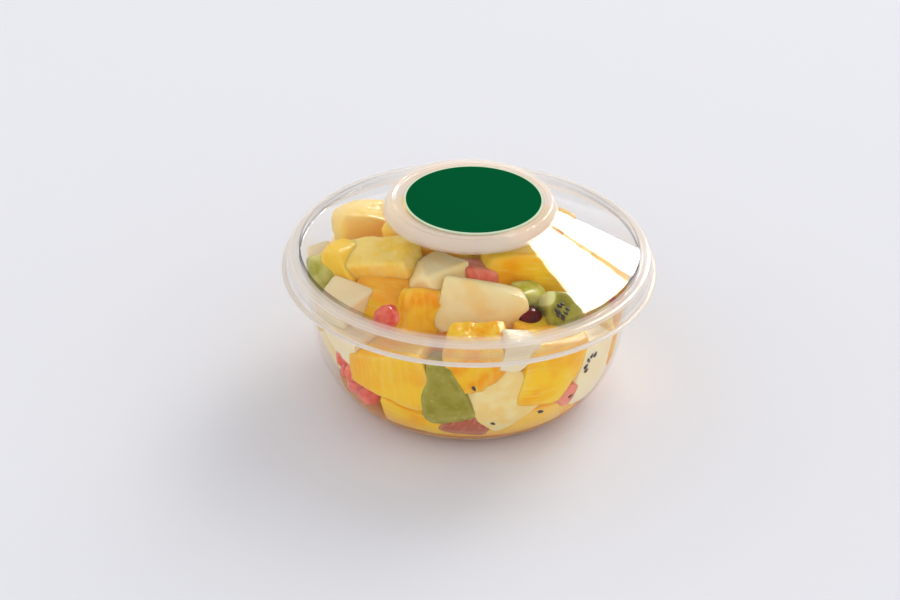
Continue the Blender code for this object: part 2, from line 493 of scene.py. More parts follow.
def flat(x, y, z, off=1.0):
    """The limit that a flat cut sets: its direction, and how far off the middle it lies."""
    square = Vector((x, y, z)).normalized()
    return lambda way: max(0.0, way.dot(square) / off)


def curved(x, z, radius):
    """The limit that a round outside sets, about an axis along Y through (x, z)."""
    def limit(way):
        flatness = way.x ** 2 + way.z ** 2
        along = way.x * x + way.z * z
        inside = along ** 2 + flatness * (radius ** 2 - x ** 2 - z ** 2)
        return flatness / (along + math.sqrt(inside)) if flatness > 1e-6 else 0.0
    return limit


def round_all_over(way):
    """The limit of a ball."""
    return 1.0


def faces_of(form, draw):
    """The cut faces and round sides of one chunk, half of whose size is 1 along each axis."""
    def off(value):
        return value * draw.uniform(1 - SLACK, 1 + SLACK)

    def askew():
        return draw.uniform(-ASKEW, ASKEW)

    def along(axis, side):
        """A direction along one axis, a little askew."""
        return [side if index == axis else askew() for index in range(3)]

    if form == "round":
        return [round_all_over]
    if form == "sector":
        return [flat(*along(0, -1), SECTOR_CORNER), flat(*along(2, -1), SECTOR_CORNER),
                flat(*along(1, -1)), flat(*along(1, 1)),
                curved(-SECTOR_CORNER, -SECTOR_CORNER, SECTOR_RADIUS)]
    if form == "segment":
        return [flat(askew(), 1, -0.45, 0.55), flat(askew(), -1, -0.45, 0.55),
                flat(*along(2, -1), 0.75), curved(0, -0.35, 1.33)]
    if form == "wedge":
        return [flat(2, askew(), 1 + askew(), off(0.55)), flat(-2, askew(), 1 + askew(), off(0.55)),
                flat(*along(2, -1), off(0.85)), flat(*along(1, 1), off(1)),
                flat(*along(1, -1), off(1)), flat(*along(2, 1), off(1))]
    if form == "taper":
        return [flat(3, askew(), 1 + askew(), off(0.75)), flat(-3, askew(), 1 + askew(), off(0.75)),
                flat(*along(2, -1), off(1)), flat(*along(2, 1), off(1)),
                flat(*along(1, 1), off(1)), flat(*along(1, -1), off(1)),
                flat(-1, askew(), -0.8, off(1.15))]
    sides = [flat(*along(axis, side), off(1)) for axis in range(3) for side in (1, -1)]
    for _ in range(3):  # a block also loses three corners to stray cuts
        corner = [draw.choice((-1, 1)) * draw.uniform(0.25, 1.0) for _ in range(3)]
        sides.append(flat(*corner, off=draw.uniform(1.02, 1.25)))
    return sides


class Salad:
    """Collects the cut fruit, one mesh for each kind, and the places of seeds and arils."""

    def __init__(self):
        self.shapes = {}
        self.seeds = []
        self.arils = []
        self.draw = random.Random(SHOWN_SEED)

    def shape(self, kind):
        """The mesh that holds every chunk of a kind."""
        if kind not in self.shapes:
            made = bmesh.new()
            made.verts.layers.float_vector.new("own")
            for name in ("tone", "edge", "core"):
                made.verts.layers.float.new(name)
            self.shapes[kind] = made
        return self.shapes[kind]

    def add(self, kind, form, matrix, size, tone, layer_in=None):
        """One chunk of a size in mm: shaped, roughened, placed and pressed in.

        layer_in is its place in the row of shown chunks; the first lie nearest to the wall.
        """
        shape = self.shape(kind)
        own_layer = shape.verts.layers.float_vector["own"]
        layer = shape.verts.layers.float
        draw = self.draw
        half = Vector(size) * MM / 2
        clearance = CONTACT + (FILL_GAP if layer_in is None else LAYER_GAP * layer_in)
        limits = faces_of(form, draw)
        offset = Vector([draw.uniform(-9, 9) for _ in range(3)])

        def skin(way):
            """The chunk's surface in one direction, in metres and in half sizes, and its limits."""
            near = sorted((limit(way) for limit in limits), reverse=True) + [0.0]
            unit = way * sum(value ** CRISP[kind] for value in near) ** (-1 / CRISP[kind])
            own = Vector([value * side for value, side in zip(unit, half)])
            away = own.normalized()
            for depth, spacing in LUMPS[kind]:
                own += away * depth * noise.noise(own / spacing + offset)
            return own, unit, near

        ways, faces = FILL_BALL if layer_in is None else SHOWN_BALL
        corners = []
        for way in ways:
            own, unit, near = skin(way)
            corner = shape.verts.new(cavity.press(matrix @ own, clearance))
            corner[own_layer] = own + offset * PATTERN_SHIFT
            corner[layer["tone"]] = tone
            corner[layer["edge"]] = near[1] / near[0]
            corner[layer["core"]] = CORELESS if form != "sector" else math.hypot(
                unit.x + SECTOR_CORNER, unit.z + SECTOR_CORNER) / SECTOR_RADIUS
            corners.append(corner)
        for face in faces:
            shape.faces.new([corners[index] for index in face])
        if form == "sector":
            self.kiwi_seeds(matrix, skin, clearance)

    def kiwi_seeds(self, matrix, skin, clearance):
        """Seeds half sunk in a slice's two cut faces, on arcs round the fruit's pale core."""
        for side in (-1, 1):
            for _ in range(SLICE_SEEDS):
                around = math.radians(self.draw.uniform(4, 86))
                out = SECTOR_RADIUS * self.draw.uniform(*SEED_RING)
                way = Vector((out * math.cos(around) - SECTOR_CORNER, side,
                              out * math.sin(around) - SECTOR_CORNER)).normalized()
                spin = (matrix.to_3x3() @ Euler((math.radians(90), 0, 0)).to_matrix()
                        @ Euler((0, 0, around)).to_matrix()).to_euler()
                self.seeds.append((cavity.press(matrix @ skin(way)[0], clearance), spin))


def turned_to(x, y, z, turn):
    """Where a chunk lies: its middle in mm, and its turn about Y, then X, then Z, in degrees."""
    return Matrix.Translation(Vector((x, y, z)) * MM) @ Euler(
        [math.radians(angle) for angle in turn], 'YXZ').to_matrix().to_4x4()


def by_wall(turn, height, inset):
    """A point some way in from the wall, turned from the front by radians, at a height."""
    out = cavity.radius(height) - inset
    return Vector((out * math.sin(turn), -out * math.cos(turn), height))


def against_wall(around, height, thick, spin):
    """Where a chunk lies that leans on the wall: degrees round from the front, and mm up."""
    height *= MM
    near = 3 * MM
    lean = math.atan2(cavity.radius(height + near) - cavity.radius(height - near), 2 * near)
    turn = math.radians(around)
    return (Matrix.Translation(by_wall(turn, height, thick * MM * PRESSED_HALF))
            @ Matrix.Rotation(turn, 4, 'Z') @ Matrix.Rotation(lean, 4, 'X')
            @ Matrix.Rotation(math.radians(spin), 4, 'Y'))


# how uneven each kind's cut faces are: (depth, spacing)
LUMPS = {
    "mango": ((0.7 * MM, 9 * MM), (0.18 * MM, 2.2 * MM)),
    "pear": ((0.4 * MM, 10 * MM), (0.10 * MM, 2.5 * MM)),
    "pineapple": ((0.9 * MM, 7 * MM), (0.4 * MM, 2.0 * MM)),
    "orange": ((0.9 * MM, 6 * MM), (0.5 * MM, 2.2 * MM)),
    "kiwi": ((0.7 * MM, 8 * MM), (0.2 * MM, 2.5 * MM)),
    "strawberry": ((0.8 * MM, 6 * MM), (0.2 * MM, 1.8 * MM)),
    "grape": ((0.3 * MM, 8 * MM),),
}

# how crisp the edges of each kind's chunks are
CRISP = {"mango": 16, "pear": 18, "pineapple": 14, "orange": 12, "kiwi": 8, "strawberry": 9,
         "grape": 9}

# The pieces that show under the lid, from left to right:
# kind, form, middle, size, turn about X, Y and Z (mm, degrees), and tone from 0 to 1
UNDER_LID = (
    ("kiwi", "block", (-50, -11, 47.5), (12, 13, 14), (0, 20, 20), 0.9),
    ("pineapple", "taper", (-41.3, -9.5, 49), (16, 15, 23), (0, -14, -25), 0.0),
    ("pineapple", "block", (-28.6, -11.6, 54), (23, 14, 13.5), (6, -10, -4), 0.6),
    ("pineapple", "block", (-33, 17, 51.5), (28, 18, 16), (0, 12, 12), 0.1),
    ("mango", "block", (-12.4, 4.9, 53), (28, 19, 17), (0, -4, -8), 0.1),
    ("pear", "block", (-42.6, -25.1, 46.4), (13.5, 13, 11), (4, 6, -32), 0.8),
    ("mango", "block", (-28, -18.5, 44.5), (23, 19, 17), (-10, 6, -10), 0.15),
    ("orange", "block", (-15.2, -28.5, 44.5), (19, 15, 18), (-26, 6, 12), 0.0),
    ("pear", "block", (-11.2, -18.5, 51.8), (16, 17, 14), (-10, 0, 42), 0.5),
    ("pear", "block", (4.5, -27, 46.6), (28, 15, 19), (-30, 3, 2), 0.4),
    ("strawberry", "block", (3.4, -15.4, 51.4), (11.5, 11, 12), (-20, 0, 30), 0.0),
    ("mango", "block", (19, -7, 50), (31, 21, 19), (-12, 4, 6), 0.0),
    ("kiwi", "block", (20.4, -21.5, 49), (12, 10, 8.5), (0, 10, 24), 1.0),
    ("kiwi", "sector", (31, -29.5, 46), (18, 12, 15), (-30, 96, 22), 0.25),
    ("grape", "round", (20.4, -30.8, 46), (9.4, 9.4, 8.8), (0, 20, 0), 0.5),
    ("mango", "block", (22, -36, 42.5), (13, 10, 9), (0, 0, 26), 0.0),
)

# The pieces that lean on the wall at the front, the ones that lie outermost first:
# kind, form, degrees round, height, (wide, thick, tall), spin, tone
ON_WALL = (
    ("mango", "block", 33.8, 34.5, (26.5, 14, 24), 5, 0.0),
    ("pear", "block", 18, 45, (11, 9, 12), 12, 1.0),
    ("kiwi", "taper", -7.4, 29.5, (19.5, 11, 27), -9, 0.0),
    ("orange", "block", 3, 40.5, (20, 14, 20), 0, 0.3),
    ("mango", "taper", -29.5, 31.5, (24, 15, 32), -96, 0.3),
    ("pear", "block", 13, 28.5, (25, 14, 25), -42, 0.25),
    ("strawberry", "block", 39.5, 22, (9, 8, 9), 20, 0.0),
    ("strawberry", "block", 0, 16, (18, 13, 13), 20, 0.7),
    ("pear", "block", 54.5, 25.5, (19, 12, 25), 10, 0.8),
    ("mango", "block", -21, 15.5, (22, 15, 14), 6, 0.0),
    ("orange", "block", -5, 12.5, (20, 14, 9), 0, 0.4),
    ("mango", "block", 22, 14, (38, 16, 18), 4, 1.0),
    ("pear", "block", -54, 35.8, (19, 13, 10.5), 6, 0.9),
)

# arils that show: places in mm
SHOWN_ARILS = ((-27.2, -41, 51), (-44, -33, 28.2), (-41, -36.5, 24.8), (-39.5, -35, 18.6),
               (-35.5, -38, 16))

# seeds against the wall: turn from the front and height, in degrees and mm
WALL_SEEDS = ((2.7, 32.7), (10.4, 16.1), (29.1, 18.0), (50.4, 34.0), (52.6, 33.6),
              (49.0, 32.6), (48.0, 30.6), (48.6, 28.6), (42.1, 20.4))

# the rest of the heap: kind, form, and how often it is drawn
FILL_KINDS = (("mango", "block", 10), ("pear", "block", 5), ("pineapple", "wedge", 3),
              ("orange", "segment", 4), ("kiwi", "sector", 4), ("strawberry", "block", 2))
SHOWN_SEED = 3
FILL_SEED = 5
SMALL_SEED = 8
FILL_COUNT = 62
FILL_REACH = (8.5, 10.5)  # mm, from a chunk's middle to its sides
FILL_SHAPE = Vector((1.28, 0.98, 0.9))
PUSH_ROUNDS = 80
PUSH_SHARE = 0.4  # how much of an overlap each round takes away
PACKING = 0.92  # how close two chunks come, where 1 is side by side
FILL_FRONT = -6 * MM  # in front of this the shown pieces hide the rest,
FILL_FRONT_REACH = 30 * MM  # which stays this close to the axis
FILL_FRONT_TOP = 34 * MM  # and this low


def heap_top(x, y):
    """How high the middle of a hidden chunk may lie."""
    top = 55.5 * MM - math.hypot(x, y) * 0.13
    if y > 14 * MM:  # it falls away at the back,
        top -= (y - 14 * MM) * 0.42
    if abs(x) > 32 * MM and y > -2 * MM:  # lies low at both sides,
        top = min(top, 40 * MM - (y + 2 * MM) * 0.2)
    if x > 16 * MM and y > 10 * MM:  # and low at the back's right
        top = min(top, 36 * MM)
    return top


def fill_places(draw, fixed):
    """Middles for the rest of the heap, pushed apart from each other and the shown pieces."""
    loose = []
    while len(loose) < FILL_COUNT:
        point = Vector((draw.uniform(-56, 56), draw.uniform(-56, 56), draw.uniform(8, 58))) * MM
        if cavity.holds(point, 7 * MM):
            loose.append([point, draw.uniform(*FILL_REACH) * MM])
    for _ in range(PUSH_ROUNDS):
        for one in loose:
            push = Vector()
            for other, reach in fixed + [tuple(item) for item in loose if item is not one]:
                apart = one[0] - other
                room = (one[1] + reach) * PACKING
                if 0 < apart.length < room:
                    push += apart.normalized() * (room - apart.length) * PUSH_SHARE
            moved = one[0] + push
            moved.z = min(moved.z, heap_top(moved.x, moved.y))
            if moved.y < FILL_FRONT:
                moved.xy *= min(1, FILL_FRONT_REACH / moved.xy.length)
                moved.z = min(moved.z, FILL_FRONT_TOP)
            one[0] = cavity.press(moved, one[1] * 0.75)
    return loose


def build_salad():
    """The shown chunks, the hidden ones between and behind them, the arils and loose seeds."""
    salad = Salad()
    fixed = []  # middle and reach of every chunk that stays where it is
    for row, (kind, form, around, height, size, spin, tone) in enumerate(ON_WALL):
        place = against_wall(around, height, size[1], spin)
        salad.add(kind, form, place, size, tone, row)
        fixed.append((place.translation, sum(size) / 6 * MM))
    for kind, form, middle, size, turn, tone in UNDER_LID:
        salad.add(kind, form, turned_to(*middle, turn), size, tone, len(ON_WALL))
        fixed.append((Vector(middle) * MM, sum(size) / 6 * MM))
    draw = salad.draw = random.Random(FILL_SEED)
    kinds = [(kind, form) for kind, form, share in FILL_KINDS for _ in range(share)]
    for point, reach in fill_places(draw, fixed):
        kind, form = draw.choice(kinds) if point.y > FILL_FRONT else ("mango", "block")
        size = FILL_SHAPE * reach / MM * 2 * draw.uniform(0.95, 1.1)
        turn = [draw.uniform(-30, 30), draw.uniform(-30, 30), draw.uniform(0, 360)]
        salad.add(kind, form, turned_to(*(point / MM), turn), size, draw.random())
    for place in SHOWN_ARILS:
        salad.arils.append((cavity.press(Vector(place) * MM, ARIL_REACH),
                            draw.uniform(0.95, 1.05)))
    for _ in range(HIDDEN_ARILS):
        place = by_wall(draw.uniform(0, 2 * math.pi), draw.uniform(8, 55) * MM,
                        draw.uniform(5, 8) * MM)
        if place.y > -15 * MM and place.z < heap_top(place.x, place.y):
            salad.arils.append((cavity.press(place, ARIL_REACH), draw.uniform(0.85, 1.05)))
    for degrees, height in WALL_SEEDS:
        turn = math.radians(degrees)
        spin = Euler((math.radians(90), draw.uniform(-1.2, 1.2), turn), 'XYZ')
        salad.seeds.append((by_wall(turn, height * MM, SEED_SUNK), spin))
    return salad


# ================ seeds and arils by nodes
def scatter(name, places, halves, build_one, finish):
    """One small shape of given half sizes on every place, turned and scaled there."""
    mesh = bpy.data.meshes.new(name + "_places")
    mesh.from_pydata([tuple(place) for place, _, _ in places], [], [])
    mesh.attributes.new("turn", 'FLOAT_VECTOR', 'POINT')
    mesh.attributes.new("size", 'FLOAT', 'POINT')
    for index, (_, spin, size) in enumerate(places):
        mesh.attributes["turn"].data[index].vector = tuple(spin)
        mesh.attributes["size"].data[index].value = size
    holder = in_scene(name + "_places", mesh)

    tree = bpy.data.node_groups.new(name, 'GeometryNodeTree')
    inputs = {label: tree.interface.new_socket(label, in_out='INPUT', socket_type=kind)
              for label, kind in (("Places", 'NodeSocketGeometry'),
                                  ("Half sizes", 'NodeSocketVector'),
                                  ("Finish", 'NodeSocketMaterial'))}
    tree.interface.new_socket("Pieces", in_out='OUTPUT', socket_type='NodeSocketGeometry')

    def add(kind, inputs=None, output=0, **settings):
        return new_node(tree, kind, inputs, settings).outputs[output]

    entry = tree.nodes.new("NodeGroupInput")
    turn = add("GeometryNodeInputNamedAttribute", {"Name": "turn"}, data_type='FLOAT_VECTOR')
    size = add("GeometryNodeInputNamedAttribute", {"Name": "size"}, data_type='FLOAT')
    points = add("GeometryNodeMeshToPoints", {"Mesh": entry.outputs["Places"]})
    placed = add("GeometryNodeInstanceOnPoints", {
        "Points": points, "Instance": build_one(add, entry.outputs["Half sizes"]),
        "Rotation": add("FunctionNodeEulerToRotation", {0: turn}), "Scale": size})
    real = add("GeometryNodeRealizeInstances", {0: placed})
    smooth = add("GeometryNodeSetShadeSmooth", {0: real})
    coloured = add("GeometryNodeSetMaterial", {0: smooth, "Material": entry.outputs["Finish"]})
    leave = tree.nodes.new("NodeGroupOutput")
    tree.links.new(coloured, leave.inputs["Pieces"])

    scattered = holder.modifiers.new("scatter", 'NODES')
    scattered.node_group = tree
    scattered[inputs["Half sizes"].identifier] = halves
    scattered[inputs["Finish"].identifier] = finish
    seen = holder.evaluated_get(bpy.context.evaluated_depsgraph_get())
    plain = bpy.data.meshes.new_from_object(seen)
    holder.modifiers.clear()
    bpy.data.objects.remove(holder)
    plain.name = name
    return in_scene(name, plain)


def narrowed(add, place, middle, slope):
    """A ball's points, drawn in round X: to a share at its middle, and less towards +X."""
    x = add("ShaderNodeSeparateXYZ", {0: place})
    width = add("ShaderNodeMath", {0: x, 1: -slope, 2: middle}, operation='MULTIPLY_ADD')
    shares = add("ShaderNodeCombineXYZ", {0: 1.0, 1: width, 2: width})
    return add("ShaderNodeVectorMath", {0: place, 1: shares}, operation='MULTIPLY')


def sized(add, sphere, place, halves):
    """A ball whose points are moved to new places and scaled to half sizes."""
    scaled = add("ShaderNodeVectorMath", {0: place, 1: halves}, operation='MULTIPLY')
    return add("GeometryNodeSetPosition", {"Geometry": sphere, "Position": scaled})


def one_seed(add, halves):
    """A flat drop: a ball squashed to the seed's sizes and narrowed towards one end."""
    sphere = add("GeometryNodeMeshUVSphere", {"Segments": 10, "Rings": 7, "Radius": 1.0})
    drop = narrowed(add, add("GeometryNodeInputPosition"), 0.85, 0.35)
    return sized(add, sphere, drop, halves)


def one_aril(add, halves):
    """A plump drop, narrowed a little towards one end and made gently uneven by soft noise lumps.
    """
    sphere = add("GeometryNodeMeshIcoSphere", {"Radius": 1.0, "Subdivisions": 4})
    place = add("GeometryNodeInputPosition")
    drop = narrowed(add, place, 0.95, 0.12)
    lumps = add("ShaderNodeTexNoise", {"Vector": place, "Scale": 1.3, "Detail": 0.0})
    swell = add("ShaderNodeMath", {0: lumps, 1: 0.35, 2: 0.82}, operation='MULTIPLY_ADD')
    uneven = add("ShaderNodeVectorMath", {0: drop, 3: swell}, operation='SCALE')
    return sized(add, sphere, uneven, halves)


# ================ finishes of the fruit
# painted light: how much paler the thin edges of cut fruit are painted, as if light shone through
# them
PAINTED_EDGE_LIGHT = 0.1
GLOW = 0.6  # the share of light that goes into the flesh
FLESH_SHINE = 0.1  # the thin wet coat on cut flesh


def wet(finish, colour, normal, roughness, deep, shine=FLESH_SHINE):
    """A moist translucent body with painted light at its thin edges, which are painted paler,
    finished.

    deep is how far red, green and blue light go into it, in metres.
    """
    # painted light: the thin edges are mixed towards pale yellow
    pale = finish.amount("edge").rise(0.72, 1.0) * PAINTED_EDGE_LIGHT
    colour = finish.mix(pale, colour, srgb(255, 236, 170))
    flesh = finish.add("ShaderNodeBsdfPrincipled", {
        "Base Color": colour, "Roughness": roughness, "Normal": normal, "IOR": 1.36,
        "Specular IOR Level": 0.1, "Subsurface Weight": GLOW, "Subsurface Radius": deep,
        "Subsurface Scale": 1.0, "Coat Weight": shine, "Coat Roughness": 0.1, "Coat IOR": 1.34})
    return finish.done(flesh)


def mango_finish():
    """Deep yellow to orange, with pale fibres that run one way."""
    finish = Finish("mango_flesh")
    own = finish.own()
    fibre = finish.cloud(finish.stretched(own, (0.12, 1.0, 1.0)), 1.3 * MM, 3.0)
    warm = finish.mottled(finish.cloud(own, 11 * MM), srgb(255, 202, 36), srgb(252, 174, 4))
    toned = finish.mix(finish.amount("tone") * 0.6, warm, srgb(255, 196, 100))
    veined = finish.mix(fibre.rise(0.5, 0.75) * 0.4, toned, srgb(255, 220, 120))
    normal = finish.bump(fibre, 0.5 * MM, 0.6)
    return wet(finish, veined, normal, 0.30 + fibre * 0.15, (0.0018, 0.0012, 0.0004))


def pear_finish():
    """Cream with a fine grain."""
    finish = Finish("pear_flesh")
    own = finish.own()
    grain = finish.cloud(own, 0.9 * MM, 3.0)
    cream = finish.mottled(finish.cloud(own, 9 * MM), srgb(244, 224, 152), srgb(244, 204, 104))
    toned = finish.mix(finish.amount("tone") * 0.75, cream, srgb(242, 230, 206))
    normal = finish.bump(grain, 0.18 * MM, 0.5)
    return wet(finish, toned, normal, 0.28 + grain * 0.15, (0.0018, 0.0016, 0.0012))


def pineapple_finish():
    """Bright or pale yellow, with pale streaks along its fibres."""
    finish = Finish("pineapple_flesh")
    own = finish.own()
    tone = finish.amount("tone")
    fibre = finish.cloud(finish.stretched(own, (1.0, 1.0, 0.15)), 1.6 * MM, 4.0)
    pale = finish.mottled(finish.cloud(own, 8 * MM), srgb(252, 224, 140), srgb(248, 204, 80))
    base = finish.mix(tone, srgb(250, 200, 30), pale)
    streaks = fibre.rise(0.5, 0.75) * (0.15 + tone * 0.5)
    streaked = finish.mix(streaks, base, srgb(250, 232, 168))
    normal = finish.bump(fibre, 0.5 * MM, 0.6)
    return wet(finish, streaked, normal, 0.3 + fibre * 0.15, (0.0018, 0.0015, 0.0006))


def orange_finish():
    """Long juice sacs with paler membrane between them."""
    finish = Finish("orange_flesh")
    own = finish.own()
    sac = finish.cells(finish.stretched(own, (1.0, 1.0, 0.35)), 2.2 * MM)
    base = finish.mottled(finish.cloud(own, 7 * MM), srgb(255, 198, 44), srgb(250, 164, 4))
    membrane = finish.mix(sac.rise(0.45, 0.8) * 0.5, base, srgb(255, 208, 72))
    normal = finish.bump(1 - sac, 0.6 * MM, 0.6)
    return wet(finish, membrane, normal, 0.27 + sac * 0.1, (0.0018, 0.0011, 0.0003))


def kiwi_finish():
    """Green flesh with a pale core, a darker ring where the seeds sit, and fine rays."""
    finish = Finish("kiwi_flesh")
    own = finish.own()
    tone = finish.amount("tone")
    core = finish.amount("core")
    rays = finish.cloud(finish.stretched(own, (1.0, 0.3, 1.0)), 1.4 * MM)
    patch = finish.cloud(own, 6 * MM)
    deep = finish.mottled(patch, srgb(148, 140, 44), srgb(166, 156, 66))
    fresh = finish.mottled(patch, srgb(178, 176, 16), srgb(216, 210, 122))
    toned = finish.mix(tone, deep, fresh)
    ring = band(core, 0.32, 0.56, 0.08) * patch.rise(0.3, 0.55) * (1 - tone)
    ringed = finish.mix(ring * 0.8, toned, srgb(96, 92, 6))
    lined = finish.mix(rays.rise(0.55, 0.75) * 0.35, ringed, srgb(206, 210, 110))
    flesh = finish.mix(core.rise(0.16, 0.24), srgb(226, 226, 160), lined)
    normal = finish.bump(rays, 0.3 * MM, 0.5)
    return wet(finish, flesh, normal, 0.27 + rays * 0.12, (0.0015, 0.0016, 0.0005))


def strawberry_finish():
    """Red flesh with pale streaks."""
    finish = Finish("strawberry_flesh")
    own = finish.own()
    streak = finish.cloud(finish.stretched(own, (1.0, 1.0, 0.2)), 1.2 * MM, 3.0)
    red = finish.mottled(finish.cloud(own, 6 * MM), srgb(242, 142, 118), srgb(224, 108, 88),
                         0.35, 0.7)
    toned = finish.mix(finish.amount("tone"), red, srgb(158, 76, 48))
    flesh = finish.mix(streak.rise(0.5, 0.75) * 0.4, toned, srgb(244, 176, 150))
    normal = finish.bump(streak, 0.3 * MM, 0.5)
    return wet(finish, flesh, normal, 0.3, (0.002, 0.0007, 0.0006))


def grape_finish():
    """Dark red skin with a faint bloom."""
    finish = Finish("grape_skin")
    bloom = finish.cloud(finish.own(), 5 * MM, 3.0)
    skin = finish.mottled(bloom, srgb(70, 4, 8), srgb(128, 14, 18), 0.4, 0.75)
    normal = finish.bump(bloom, 0.15 * MM, 0.4)
    return wet(finish, skin, normal, 0.16 + bloom * 0.1, (0.0008, 0.0002, 0.0002), 0.28)


def aril_finish():
    """Clear red juice under a thin glossy skin."""
    finish = Finish("aril_flesh")
    patch = finish.cloud(finish.place(), 3.5 * MM)
    red = finish.mottled(patch, srgb(220, 82, 66), srgb(238, 130, 108), 0.3, 0.7)
    normal = finish.bump(patch, 0.4 * MM, 0.5)
    return wet(finish, red, normal, 0.14 + patch * 0.08, (0.002, 0.0006, 0.0006), 0.2)


def seed_finish():
    finish = Finish("seed_skin")
    patch = finish.cloud(finish.place(), 0.7 * MM)
    dark = finish.mix(patch, srgb(26, 18, 14), srgb(58, 36, 26))
    return finish.done(finish.add("ShaderNodeBsdfPrincipled", {
        "Base Color": dark, "Roughness": 0.25 + patch * 0.15, "Coat Weight": 0.4,
        "Coat Roughness": 0.1, "Normal": finish.bump(patch, 0.08 * MM, 0.5)}))


def juice_finish():
    """Thin amber juice that shows the floor through it."""
    finish = Finish("juice")
    patch = finish.cloud(finish.place(), 14 * MM)
    amber = finish.mix(patch, srgb(246, 196, 104), srgb(238, 168, 84))
    liquid = finish.add("ShaderNodeBsdfPrincipled", {
        "Base Color": amber, "Roughness": 0.08, "Subsurface Weight": 0.3,
        "Subsurface Radius": (0.006, 0.003, 0.001), "Subsurface Scale": 1.0})
    clear = finish.add("ShaderNodeBsdfTransparent", {"Color": srgb(255, 236, 190)})
    return finish.done(finish.mix_shaders(0.28 + patch * 0.26, clear, liquid))


def core_finish():
    """The deep amber that shows in the gaps between chunks."""
    finish = Finish("heap_core")
    patch = finish.cloud(finish.place(), 9 * MM, 3.0)
    deep = finish.mottled(patch, srgb(244, 178, 60), srgb(226, 140, 44), 0.35, 0.7)
    normal = finish.bump(patch, 1.5 * MM, 0.6)
    return wet(finish, deep, normal, 0.35, (0.0018, 0.001, 0.0004))


def label_finish():
    """Green printed film with a thin pale border."""
    finish = Finish("label_print")
    off = finish.add("ShaderNodeVectorMath", {
        0: finish.place(), 1: (LABEL_MIDDLE.x, LABEL_MIDDLE.y, 0)}, operation='SUBTRACT')
    x, y, _ = finish.axes(off)
    fleck = finish.cloud(finish.place(), 0.8 * MM, 3.0)
    green = finish.mix(fleck * 0.5, srgb(2, 78, 42), srgb(8, 86, 48))
    border = off_axis(x, y).rise(*LABEL_BORDER)
    printed = finish.mix(border, green, srgb(196, 214, 186))
    normal = finish.bump(fleck, 0.02 * MM, 0.4)
    return finish.done(finish.add("ShaderNodeBsdfPrincipled", {
        "Base Color": printed, "Roughness": 0.42 + fleck * 0.08, "Normal": normal,
        "Specular IOR Level": 0.0}))


# ================ juice and core
def juice_outline():
    """The pool at the bottom, reaching just into the wall."""
    reach = [point for point in wall_outline(WALL * 0.7) if point.y < JUICE_LEVEL]
    edge = cavity.radius(JUICE_LEVEL) + WALL * 0.3
    lowest = [Vector((0, FLOOR * 0.7)), Vector((FOOT_RADIUS + 0.6 * MM, FLOOR * 0.7))]
    return lowest + reach + [Vector((edge, JUICE_LEVEL)), Vector((0, JUICE_LEVEL))]


def core_mesh():
    """A lumpy body that fills the middle of the heap and stays inside the chunks."""
    mesh = bpy.data.meshes.new("heap_core")
    shape = bmesh.new()
    bmesh.ops.create_icosphere(shape, subdivisions=5, radius=1)
    for corner in shape.verts:
        way = corner.co.normalized()
        swell = 1 + 0.16 * noise.noise(way * 2.2) + 0.08 * noise.noise(way * 6)
        corner.co = Vector((way.x * CORE_REACH, way.y * CORE_REACH,
                            CORE_MIDDLE + way.z * CORE_RISE)) * MM
        corner.co = HEAP_MIDDLE + (corner.co - HEAP_MIDDLE) * swell
        corner.co = cavity.press(corner.co, 3.5 * MM if corner.co.z > 12 * MM else 1 * MM)
    shape.to_mesh(mesh)
    shape.free()
    return mesh


# ================ camera, light and floor
CAMERA_TARGET = Vector((0, 0, 35 * MM))
CAMERA_RISE = math.radians(31.7)
CAMERA_DISTANCE = 0.7722
CAMERA_ROLL = math.radians(1.373)
AIM_LEFT = 6.42 * MM  # the camera aims this far beside the target
AIM_BELOW = 1.54 * MM
LENS = 88.0
ROOM_OVERHEAD = 0.35
ROOM_SIDES = 1.45
FLOOR_REACH = 8.0
LAMPS_FACE = Vector((35, -20, 62)) * MM  # the place on the lid's cone that the lamps face

# The lamps: the (bearing, rise) of their upper and lower ends in degrees, width and distance in
# metres, brightness, colour, and whether gloss alone sees them, as the window on the lid
LAMPS = {
    "soft_light": ((38, 55.5), (63, 14), 2.6, 6.0, 3.9, (1.0, 0.97, 0.93), False),
    "window_upper": ((38, 55.5), (51.5, 33.0), 1.3, 3.0, 62.0, (1.0, 0.98, 0.95), True),
    "window_lower": ((53.5, 29.7), (62, 15), 1.3, 3.0, 62.0, (1.0, 0.98, 0.95), True),
}


def standing(place, x, y, z):
    """Where a thing stands: its place, and where its own axes point."""
    return Matrix.Translation(place) @ Matrix((x, y, z)).transposed().to_4x4()


def set_camera():
    """A camera in front and above, rolled a little, that looks just beside its target."""
    back = Vector((0, -math.cos(CAMERA_RISE), math.sin(CAMERA_RISE)))
    right = Vector((1, 0, 0))
    up = back.cross(right)
    eye = CAMERA_TARGET + back * CAMERA_DISTANCE
    aim = CAMERA_TARGET - right * AIM_LEFT - up * AIM_BELOW
    look = (aim - eye).normalized()
    up_now = up * math.cos(CAMERA_ROLL) - right * math.sin(CAMERA_ROLL)
    side = look.cross(up_now).normalized()
    over = side.cross(look)
    lens = bpy.data.cameras.new("camera")
    lens.lens = LENS
    lens.sensor_width = 36
    camera = in_scene("camera", lens)
    camera.matrix_world = standing(eye, side, over, -look)
    bpy.context.scene.camera = camera


def direction(bearing, rise):
    """A unit vector from a bearing, from +X towards +Y, and a rise, in degrees."""
    a, e = math.radians(bearing), math.radians(rise)
    return Vector((math.cos(a) * math.cos(e), math.sin(a) * math.cos(e), math.sin(e)))


